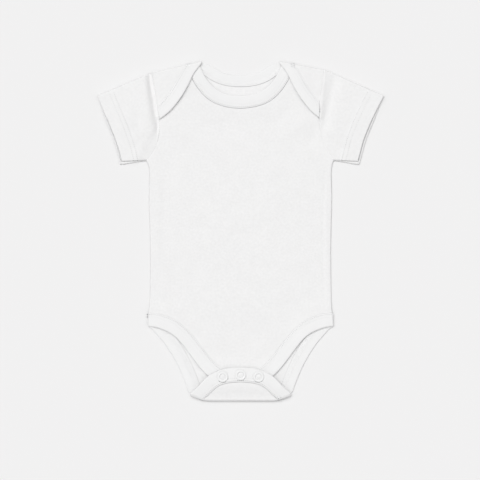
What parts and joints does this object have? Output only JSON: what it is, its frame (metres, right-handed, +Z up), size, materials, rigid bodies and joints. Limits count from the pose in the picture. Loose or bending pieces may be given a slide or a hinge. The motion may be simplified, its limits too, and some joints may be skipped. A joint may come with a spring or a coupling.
{
  "type": "baby bodysuit",
  "caption": "Short-sleeved white knit baby bodysuit with lap shoulders, bound neck and leg edges and a snapped crotch flap, laid flat with its front up.",
  "frame": {"origin": "on the surface the garment lies on, under the middle of its outline", "axes": "+Z up out of the garment's front, +Y towards the neck, +X to the right as seen from the front"},
  "size_m": [0.3144, 0.3737, 0.0086],
  "materials": {
    "interlock": "white cotton interlock knit, matte and soft",
    "rib": "white cotton rib binding, matte, finely ribbed across",
    "snap": "white enamelled brass, satin"
  },
  "bodies": {
    "root": {"front_panel": "interlock", "back_panel": "interlock", "sleeve_left": "interlock", "sleeve_right": "interlock", "front_neck_binding": "rib", "back_neck_binding": "rib", "front_leg_binding": "rib", "back_leg_binding": "rib", "snap_ring_1": "snap", "snap_ring_2": "snap", "snap_ring_3": "snap", "snap_socket_1": "snap", "snap_socket_2": "snap", "snap_socket_3": "snap", "snap_stud_1": "snap", "snap_stud_2": "snap", "snap_stud_3": "snap", "snap_back_ring_1": "snap", "snap_back_ring_2": "snap", "snap_back_ring_3": "snap"}
  },
  "joints": []
}
